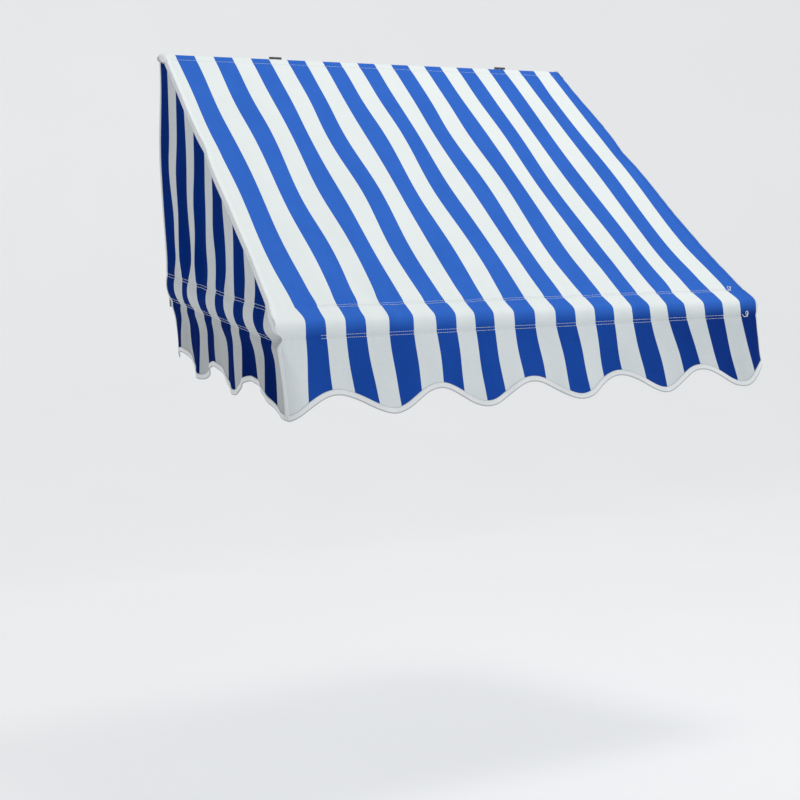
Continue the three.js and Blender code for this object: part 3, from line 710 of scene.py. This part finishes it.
def hard_finish(name, dark, light, rough, metallic, grain, depth):
    """Metal or moulded finish: a fine grain, drawn out along the grain's short number, and broad
    handling marks."""
    finish = Finish(name, Metallic=metallic)
    fine = finish.noise(finish.stretched(finish.place(), *grain), 1.0, 3.0)
    marks = finish.noise(finish.place(), 24.0, 4.0, 0.6)
    colour = finish.blend((fine * 0.5 + marks * 0.5).clamp(), dark, light)
    normal = finish.bump(fine, depth, 0.3)
    return finish.done(Base_Color=colour, Roughness=rough + marks * 0.16 + fine * 0.08, Normal=normal)


def drawn_aluminium(name, grain):
    return hard_finish(name, rgb(0.50, 0.51, 0.53), rgb(0.74, 0.75, 0.76), 0.28, 1.0, grain, 0.00006)


ROOF_MAT = roof_cloth()
WING_MAT = wing_cloth()
TAPE_MAT = tape_cloth()
THREAD_MAT = thread()
FINISHES = {
    "bars": drawn_aluminium("drawn_aluminium", (60, 900, 900)),
    "arms": drawn_aluminium("drawn_aluminium_arm", (900, 60, 900)),
    "cast": hard_finish(
        "cast_aluminium", rgb(0.36, 0.37, 0.39), rgb(0.55, 0.56, 0.58),
        rough=0.44, metallic=0.9, grain=(420, 420, 420), depth=0.0002,
    ),
    "zinc": hard_finish(
        "zinc_plated_steel", rgb(0.38, 0.39, 0.41), rgb(0.62, 0.63, 0.65),
        rough=0.30, metallic=1.0, grain=(160, 160, 160), depth=0.00008,
    ),
    "dark": hard_finish(
        "dark_plated_steel", rgb(0.07, 0.07, 0.075), rgb(0.14, 0.14, 0.15),
        rough=0.42, metallic=0.8, grain=(160, 160, 160), depth=0.00008,
    ),
    "cap": hard_finish(
        "moulded_cap", rgb(0.55, 0.55, 0.54), rgb(0.68, 0.68, 0.67),
        rough=0.48, metallic=0.0, grain=(500, 500, 500), depth=0.0001,
    ),
}
FINISH_OF = (
    ("head_bar", "bars"), ("front_bar", "bars"), ("arm_left", "arms"), ("arm_right", "arms"),
    ("elbow_left", "cast"), ("elbow_right", "cast"), ("arm_socket", "cast"), ("head_cap", "cap"),
    ("head_bracket", "dark"), ("head_jaw", "dark"), ("", "zinc"),
)


def dress_cad_nodes():
    """Gives every node that stays visible its finish: the first entry whose text starts the node's
    name."""
    for name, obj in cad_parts.items():
        finish = next(key for start, key in FINISH_OF if name.startswith(start))
        for material_slot in obj.material_slots:
            material_slot.material = FINISHES[finish]


# ---- sewn pieces ----
NOTCH_HALF = 0.024  # the head pocket is cut away this far to each side of a bracket
NOTCH_END = -0.014  # and up to this distance s
SNUG = 0.0003  # gap between two layers sewn together
TAPE_ROW = 0.72  # a tape's stitches, as a share of its width from the fold
SEAM_ROW = 0.0078  # a seam tape's stitches, down the wing from the ridge


def steps(*stops):
    """Row of numbers from (value, count) stops: each stop says where a stretch ends and how many
    steps it takes."""
    out = [np.array([stops[0][0]])]
    for (a, _), (b, n) in zip(stops[:-1], stops[1:]):
        out.append(np.linspace(a, b, n + 1)[1:])
    return np.concatenate(out)


def both_faces(values):
    """The same values once for the outer and once for the inner face of a cloth."""
    return np.concatenate([values, values])


def roof_stripes(x, s):
    """Number of stripe widths from the left edge, with a slow wander that fades at both seams and a
    lean down the valance."""
    wander = 0.13 * folds(x, s, 14, 0.42, 0.30) * smooth(0.05, 0.3, s)
    wander = wander + 0.05 * folds(x, s, 15, 0.40, 0.12) * smooth(S_ROOF - 0.2, S_ROOF, s)
    wander = wander + 0.07 * folds(x, s, 16, 0.12, 0.10) * bump(s - S_UP, 0.035)
    lean = 0.10 * np.clip((s - S_BEND) / VALANCE, 0, 1.1) * smooth(-0.4, 0.55, x)
    return (x + FRONT_HALF) / STRIPE + wander * smooth(0, 0.05, FRONT_HALF - np.abs(x)) - lean


def canopy_panel():
    """One cloth from the head pocket to the scalloped edge. Columns are at even fractions of the half
    width; rows follow s, and below the front bar they share out the height down to the hem of their
    column. Cells at the head brackets are cut out of the pocket. The pattern's V is s."""
    cuts = [(b + d) / WRAP_HALF for b in BRACKETS for d in (-NOTCH_HALF, NOTCH_HALF)]
    ends = [1 - d / FRONT_HALF for d in (0.004, 0.010, 0.017, 0.026, 0.036)]
    u = np.unique(np.concatenate([np.linspace(-1, 1, 225), cuts, ends, [-e for e in ends]]))
    rows = steps((S_TOP, 0), (0, 24), (0.04, 9), (S_UP - 0.03, 62), (S_BEND, 38))
    free = np.linspace(0, 1, 43)[1:]
    drop = (BAR_Z - front_hem(u * FRONT_HALF))[:, None] * free
    s = np.concatenate([np.broadcast_to(rows, (len(u), len(rows))), S_BEND + drop], 1)
    x = u[:, None] * half_width(s)
    middle_x = (x[:-1, :-1] + x[1:, 1:]) / 2
    middle_s = (s[:-1, :-1] + s[1:, 1:]) / 2
    cut = np.zeros(middle_x.shape, bool)
    for b in BRACKETS:
        cut |= (np.abs(middle_x - b) < NOTCH_HALF) & (middle_s < NOTCH_END)
    points, quads = shell(canopy_at(x, s, THIN / 2), canopy_at(x, s, -THIN / 2), ~cut)
    uv = np.stack([roof_stripes(x, s), s], -1).reshape(-1, 2)
    points, quads, uv = used_only(points, quads, both_faces(uv))
    obj = piece("canopy_cloth", points, quads, ROOF_MAT, "cloth", uv)
    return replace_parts(obj, "canopy_panel")


def wing_stripes(side, y, z):
    """Number of stripe widths from the rear edge, where a blue one starts, with a wander in the
    gathers above and below the arm."""
    seed = 60 if side < 0 else 70
    wander = 0.16 * folds(y, z, seed, 0.30, 0.24) * smooth(0.03, 0.25, roof_under(y) - z)
    wander = wander + 0.10 * folds(y, z, seed + 1, 0.25, 0.16) * smooth(0.02, -0.10, z - arm_line(y))
    return 1 + (REAR_Y - y) / WING_STRIPE + wander * smooth(0, 0.05, REAR_Y - y)


def wing(side, tag):
    """Side cloth: columns from the rear edge to the front corner, rows from the roof's underside down
    to the scalloped hem. The pattern's V is the height over the arm."""
    edges = [REAR_Y - 0.002, HEAD_Y + R_HEAD * NRM[0], -FRONT_PLANE + 0.003, -FRONT_PLANE + 0.008]
    even = np.linspace(REAR_Y, -(PROJECTION - 0.0016), 156)
    rear = np.linspace(REAR_Y, REAR_Y - 0.04, 14)
    y = np.unique(np.concatenate([even, rear, edges]))[::-1]
    t = steps((0, 0), (0.45, 40), (1, 100))
    z = mix(roof_under(y)[:, None] - 0.0009, wing_hem(side, y)[:, None], t)
    y = np.broadcast_to(y[:, None], z.shape)
    points, quads = shell(wing_at(side, y, z, THIN / 2), wing_at(side, y, z, -THIN / 2))
    uv = np.stack([wing_stripes(side, y, z), z - arm_line(y)], -1).reshape(-1, 2)
    obj = piece(f"wing_cloth_{tag}", points, quads, WING_MAT, "cloth", both_faces(uv))
    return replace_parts(obj, f"wing_{tag}")


def folded_band(width, thick):
    """Outline of folded tape: a round fold, and two legs with a shallow groove at the stitches."""
    a = np.linspace(-np.pi, 0, 9)
    fold = np.stack([thick * np.cos(a), thick * np.sin(a)], 1)
    leg = np.array([[1.0, 0.50], [1.05, 0.60], [0.80, TAPE_ROW], [1.05, 0.84], [1.0, 0.95], [0.55, 1.0]])
    leg = leg * [thick, width]
    return np.concatenate([fold, leg, leg[::-1] * [-1, 1]])


def tape_uv(height):
    """UV of a tape's points: only V is used, 0 at the fold and 1 at the sewn edge, where the tape's material
    paints its shadow lines.
    """
    return np.stack([0 * height, height], 1)


def band_on(surface, a, b, into, name, node, width=0.0112, thick=0.0016):
    """Tape folded over the cloth edge that runs through places (a, b) of a surface, and the row of
    places where its stitches go. Each point of the outline lies its height into the cloth, at right
    angles to the edge and towards into, and its distance off the mid surface."""
    along = unit(np.stack([np.gradient(a), np.gradient(b)], 1))
    inward = np.stack([-along[:, 1], along[:, 0]], 1)
    inward = inward * np.sign(inward @ np.asarray(into, float))[:, None]

    def at(height, off=0.0):
        return surface(a + inward[:, 0] * height, b + inward[:, 1] * height, off)

    profile = folded_band(width, thick)
    points, quads = tube_of(np.stack([at(height, off) for off, height in profile], 1))
    height = np.tile(np.clip(profile[:, 1] / width, 0, 1), len(a))
    obj = piece(name, points, quads, TAPE_MAT, "tape", tape_uv(height))
    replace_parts(obj, node)
    row = width * TAPE_ROW
    return obj, (at(row, thick * 0.9), unit(at(row, 0.001) - at(row, -0.001)))


def front_hem_tape():
    x = np.linspace(-FRONT_HALF + 0.0006, FRONT_HALF - 0.0006, 460)
    s = S_BEND + BAR_Z - front_hem(x)
    return band_on(canopy_at, x, s, (0, -1), "front_hem_binding", "hem_tape_front")


def wing_hem_tape(side, tag):
    y = np.linspace(REAR_Y, -(PROJECTION - 0.0025), 280)
    surface = partial(wing_at, side)
    return band_on(surface, y, wing_hem(side, y), (0, 1), f"wing_hem_binding_{tag}", f"hem_tape_{tag}")


def rear_tape(side, tag):
    z = np.linspace(wing_hem(side, REAR_Y) + 0.012, R_HEAD - 0.003, 150)
    y = np.full(len(z), REAR_Y)
    surface = partial(wing_at, side)
    return band_on(surface, y, z, (-1, 0), f"rear_edge_binding_{tag}", f"rear_tape_{tag}", 0.0080, 0.0013)


def seam_tape(side, tag):
    """Tape folded over the seam between the panel and a wing. Its section lies on both cloths: out on
    the panel, over the seam's ridge and down the wing, with a crease beside the ridge; the inner face
    is the same places pressed onto the cloth. A section's points are the distance from the ridge and
    the height off the cloth in millimetres."""
    last = S_BEND + BAR_Z - float(front_hem(side * FRONT_HALF)) - 0.006
    s = steps((-0.030, 0), (0.02, 14), (S_ROOF - 0.04, 100), (S_BEND + 0.05, 60), (last, 34))
    y, z, a = section_at(s)
    slack = 0.0005 * folds(s, s * 0, 50 + side, 0.05, 1)
    on_panel = np.array([[0.0032, 0.5], [0.0028, 1.2], [0.0018, 1.6], [0.0008, 1.8]])
    on_wing = np.array([
        [0.0010, 2.0], [0.0030, 1.6], [0.0060, 1.3], [SEAM_ROW, 0.7],
        [0.0096, 1.4], [0.0108, 1.2], [0.0114, 0.5],
    ])
    pressed = 0.1

    def over_panel(d, off):
        return canopy_at(side * (half_width(s) - d), s, off / 1000 + THIN / 2 + slack)

    def over_wing(d, off):
        return wing_at(side, y - d * np.cos(a), z - d * np.sin(a), off / 1000 + THIN / 2)

    face = [over_panel(*p) for p in on_panel] + [over_wing(*p) for p in on_wing]
    back = [over_wing(d, pressed) for d, _ in on_wing[::-1]]
    back += [over_panel(d, pressed) for d, _ in on_panel[::-1]]
    points, quads = tube_of(np.stack(face + back, 1))
    reach = np.concatenate([0.5 + 0 * on_panel[:, 0], mix(0.3, 1.0, on_wing[:, 0] / on_wing[-1, 0])])
    height = np.tile(np.concatenate([reach, reach[::-1]]), len(s))
    obj = piece(f"seam_binding_{tag}", points, quads, TAPE_MAT, "tape", tape_uv(height))
    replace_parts(obj, f"seam_tape_{tag}")
    where = (y - SEAM_ROW * np.cos(a), z - SEAM_ROW * np.sin(a))
    return obj, (over_wing(SEAM_ROW, 0.8), normal_of(partial(wing_at, side), *where))


def seam_tail(side, tag):
    """Loose folded end of the seam binding at the top corner: a small flap that leaves the roof's edge
    and droops outward, its width half a sine along the edge."""
    t = np.linspace(0, 1, 26)[:, None]
    v = np.linspace(0, 1, 16)[None]
    grid = (t.size, v.size)
    s = np.broadcast_to(mix(-0.020, 0.034, t), grid)
    reach = 0.019 * np.sin(np.pi * (0.12 + 0.76 * t)) * v
    root = canopy_at(side * (np.maximum(half_width(s), TOP_HALF) - 0.004), s, 0.0028)
    face = normal_of(canopy_at, side * TOP_HALF, s)
    drop = 0.011 * v**2 + 0.0022 * np.sin(2 * np.pi * (t * 1.2 + v * 0.6)) * v

    def layer(off):
        return root + np.array([side, 0, 0]) * reach[..., None] - face * (drop - off)[..., None]

    points, quads = shell(layer(0.0012), layer(0.0))
    height = np.broadcast_to(mix(0.4, 1.0, v), grid).ravel()
    return piece(f"seam_tail_{tag}", points, quads, TAPE_MAT, "tape", tape_uv(both_faces(height)))


def round_bar(p0, p1, centre, radius, p2, p3, count):
    """Open path from two points, round the far side of a circle and on to two more; the arc starts
    and ends where the straight runs touch the circle."""
    def touch(p, turn):
        d = np.subtract(p, centre)
        return math.atan2(d[1], d[0]) + turn * math.acos(radius / math.hypot(*d))

    start, end = touch(p1, -1), touch(p2, 1)
    while end > start:
        end -= 2 * math.pi
    a = np.linspace(start, end, count)
    arc = np.stack([centre[0] + radius * np.cos(a), centre[1] + radius * np.sin(a)], 1)
    return np.concatenate([[p0], [p1], arc, [p2], [p3]])


def evenly(path, count):
    """The same flat path with evenly spaced points, their normals and their distances along it."""
    s = distances(path)
    t = np.linspace(0, s[-1], count)
    even = np.stack([np.interp(t, s, path[:, 0]), np.interp(t, s, path[:, 1])], 1)
    d = np.gradient(even, axis=0)
    return even, unit(np.stack([-d[:, 1], d[:, 0]], 1)), t


def front_pocket():
    """Strip sewn under roof and valance that holds the front bar. Its two sewn ends follow the panel;
    between them it ripples."""
    inside = R_BAR - SNUG - CLOTH / 2
    start = np.array([BAR_Y, BAR_Z]) + NRM * inside
    upper = [start - DIR * d for d in (0.052, 0.042)]
    lower = [(-(PROJECTION - CLOTH) + SNUG + CLOTH / 2, BAR_Z - d) for d in (0.024, 0.032)]
    path, face, t = evenly(round_bar(*upper, (BAR_Y, BAR_Z), R_BAR + CLOTH / 2, *lower, 40), 44)
    x = np.linspace(-0.538, 0.538, 180)[:, None]
    share = t / t[-1]
    at_end = smooth(0.7, 1, share)
    ripple = 0.0006 * (1 + folds(x, t, 90, 0.05, 0.2)) * np.sin(np.pi * share) ** 2
    sewn_up = canopy_push(x, S_UP + 0 * x) * (1 - smooth(0, 0.3, share))
    sewn_low = canopy_push(x, S_LOW + 0 * x) * at_end
    flared = flare(x, BAR_Z - 0.028) * at_end

    def layer(off):
        y = path[:, 0] + face[:, 0] * (off + ripple) + NRM[0] * sewn_up - sewn_low - flared
        z = path[:, 1] + face[:, 1] * (off + ripple) + NRM[1] * sewn_up
        return np.stack([np.broadcast_to(x, y.shape), y, z], -1)

    points, quads = shell(layer(THIN / 2), layer(-THIN / 2))
    uv = np.stack(np.broadcast_arrays((x + FRONT_HALF) / STRIPE, t), -1).reshape(-1, 2)
    obj = piece("front_pocket_strip", points, quads, WING_MAT, "cloth", both_faces(uv))
    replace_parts(obj, "pocket_front")
    return obj, t[-1]


def side_pocket(side, tag):
    """Channel sewn inside a wing that holds the arm: at each station a path from one double row,
    round the arm, to the other."""
    def inner_face(y, z):
        return -(abs(float(wing_at(side, y, z)[0])) - CLOTH - 2 * SNUG)

    lines = []
    for share in np.linspace(0.12, 0.93, 90):
        y, z = mix(SOCKET_Y, BAR_Y, share), mix(SOCKET_Z, BAR_Z, share)
        sewn = [(inner_face(y, z + d), z + d) for d in (0.032, 0.026, -0.026, -0.032)]
        around = round_bar(*sewn[:2], (-ARM_X, z), R_BAR + CLOTH / 2, *sewn[2:], 30)
        path, face, t = evenly(around, 36)
        lines.append(np.column_stack([path[:, 0], np.full(len(path), y), path[:, 1], face]))
    lines = np.stack(lines)

    def layer(off):
        return (lines[..., :3] + off * lines[..., [3, 3, 4]] * [1, 0, 1]) * [-side, 1, 1]

    points, quads = shell(layer(THIN / 2), layer(-THIN / 2))
    count = 1 + (REAR_Y - lines[:, :1, 1]) / WING_STRIPE
    uv = np.stack(np.broadcast_arrays(count, t), -1).reshape(-1, 2)
    obj = piece(f"arm_pocket_strip_{tag}", points, quads, WING_MAT, "cloth", both_faces(uv))
    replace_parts(obj, f"pocket_{tag}")
    return obj, t[-1]


def canopy_stitches(s, x0, x1):
    """Row of stitches across the panel at distance s."""
    x = np.linspace(x0, x1, 500)
    s = np.full(500, s)
    return stitches(canopy_at(x, s, THIN / 2), normal_of(canopy_at, x, s))


def pocket_rows():
    """Threads of the pockets: double rows at the front bar and along each arm, one row at the head
    pocket, and the loose loops where the front rows end on the right."""
    parts = []
    for s, x0, x1 in ((S_UP, -0.50, 0.562), (S_LOW, -0.52, 0.572)):
        parts += [canopy_stitches(s + k * ROW_GAP, x0, x1) for k in (-1, 1)]
        up = normal_of(canopy_at, x1, s)
        lower_end = canopy_at(x1, s + ROW_GAP, THIN / 2)
        upper_end = canopy_at(x1 - 0.004, s - ROW_GAP, THIN / 2)
        parts.append(thread_tail(lower_end, np.array([1.0, 0, 0]), up, 0.92))
        parts.append(thread_tail(upper_end, np.array([0.8, 0, 0.6]), up, -0.8, 0.006))
    parts.append(canopy_stitches(S_HEAD_ROW, -0.575, 0.575))
    for side in (-1, 1):
        surface = partial(wing_at, side)
        y = np.linspace(REAR_Y - 0.012, -(PROJECTION - 0.030), 320)
        for q in (row + k * ROW_GAP for row in ARM_ROWS for k in (-1, 1)):
            z = arm_line(y) + q
            parts.append(stitches(surface(y, z, THIN / 2), normal_of(surface, y, z)))
    return gather(parts)


# ---- build ----
dress_cad_nodes()
panel = canopy_panel()
front_tape, front_row = front_hem_tape()
tape_rows = [front_row]
panel_goes_with = [front_tape]
for side, tag in ((-1, "left"), (1, "right")):
    cloth = wing(side, tag)
    hem, hem_row = wing_hem_tape(side, tag)
    rear, rear_row = rear_tape(side, tag)
    seam, seam_row = seam_tape(side, tag)
    tape_rows += [hem_row, rear_row, seam_row]
    panel_goes_with += [seam, seam_tail(side, tag)]
    strip, strip_width = side_pocket(side, tag)
strip, strip_width = front_pocket()
panel_goes_with.append(piece("pocket_stitching", *pocket_rows(), THREAD_MAT, "tape"))
rows = gather([stitches(line, face, radius=0.0003) for line, face in tape_rows])
panel_goes_with.append(piece("binding_stitching", *rows, THREAD_MAT, "tape"))


# ---- camera, light and floor ----
def stand(obj, x, y, z, place):
    """Puts an object at a place with its own axes along x, y and z, and into the scene."""
    rows = np.vstack([np.column_stack([x, y, z, place]), [0, 0, 0, 1]])
    obj.matrix_world = Matrix(rows.tolist())
    bpy.context.scene.collection.objects.link(obj)


def look(lens, shift, place, yaw, pitch, roll):
    """Camera at a place, turned by yaw to the right, pitch up and roll about its line of sight, with a
    lens in millimetres on a 36 mm sensor and a small sideways and upward shift."""
    yaw, pitch, roll = (math.radians(a) for a in (yaw, pitch, roll))
    level = np.array([math.cos(yaw), -math.sin(yaw), 0.0])
    forward = np.array([math.sin(yaw), math.cos(yaw), 0.0])
    ahead = forward * math.cos(pitch) + np.array([0, 0, math.sin(pitch)])
    upright = np.cross(level, ahead)
    right = math.cos(roll) * level + math.sin(roll) * upright
    up = math.cos(roll) * upright - math.sin(roll) * level
    data = bpy.data.cameras.new("camera")
    data.sensor_width = 36.0
    data.lens = lens
    data.shift_x, data.shift_y = shift
    data.clip_end = 100
    cam = bpy.data.objects.new("camera", data)
    stand(cam, right, up, -ahead, place)
    bpy.context.scene.camera = cam


def area_light(name, place, target, size, power, colour):
    """Square soft light at a place, turned to a target."""
    data = bpy.data.lights.new(name, "AREA")
    data.shape, data.size, data.energy, data.color = "SQUARE", size, power, colour
    back = unit(np.subtract(place, target))
    right = unit(np.cross([0, 0, 1.0], back))
    stand(bpy.data.objects.new(name, data), right, np.cross(back, right), back, place)


def pale_floor():
    """Even off-white paper with a faint mottle, bright enough of itself to keep its tone where the
    lights fall off."""
    glow = rgb(0.87, 0.88, 0.89)
    finish = Finish("pale_floor", Roughness=0.9, Emission_Strength=0.56, Emission_Color=glow)
    mottle = finish.noise(finish.place(), 1.5, 2.0)
    return finish.done(Base_Color=finish.blend(mottle, rgb(0.44, 0.445, 0.45), rgb(0.47, 0.475, 0.48)))


def studio_floor():
    """Floor that curves up far behind into a wall."""
    low, near, far, bend, height, half = -1.75, -16.0, 4.0, 3.0, 16.0, 18
    a = np.linspace(0, np.pi / 2, 24)
    y = np.concatenate([[near, far], far + bend * np.sin(a), [far + bend]])
    z = np.concatenate([[low, low], low + bend - bend * np.cos(a), [low + height]])
    x = np.linspace(-half, half, 5)[:, None]
    grid = np.stack(np.broadcast_arrays(x, y, z), -1)
    at = np.arange(x.size * len(y)).reshape(x.size, -1)
    quads = np.stack([at[:-1, :-1], at[1:, :-1], at[1:, 1:], at[:-1, 1:]], -1).reshape(-1, 4)
    mesh = bpy.data.meshes.new("studio_floor")
    mesh.from_pydata(grid.reshape(-1, 3).tolist(), [], quads.tolist())
    mesh.polygons.foreach_set("use_smooth", np.ones(len(mesh.polygons), bool))
    mesh.materials.append(pale_floor())
    floor = bpy.data.objects.new("studio_floor", mesh)
    bpy.context.scene.collection.objects.link(floor)


def surroundings():
    world = bpy.data.worlds.new("surroundings")
    world.use_nodes = True
    background = world.node_tree.nodes["Background"]
    background.inputs["Color"].default_value = rgb(0.96, 0.98, 1.0)
    background.inputs["Strength"].default_value = 0.50
    bpy.context.scene.world = world
    bpy.context.scene.view_settings.view_transform = "Standard"


look(lens=61.047, shift=(0.075, -0.1375), place=(-1.6590, -3.2093, -0.8929), yaw=25.44, pitch=4.89, roll=-4.3)
studio_floor()
surroundings()
area_light("key", (0.9, -1.9, 3.8), (0, -0.35, -0.4), size=1.4, power=78, colour=(1.0, 0.99, 0.97))
area_light("fill", (1.9, -4.0, 0.6), (0, -0.35, -0.5), size=2.0, power=20, colour=(0.96, 0.98, 1.0))
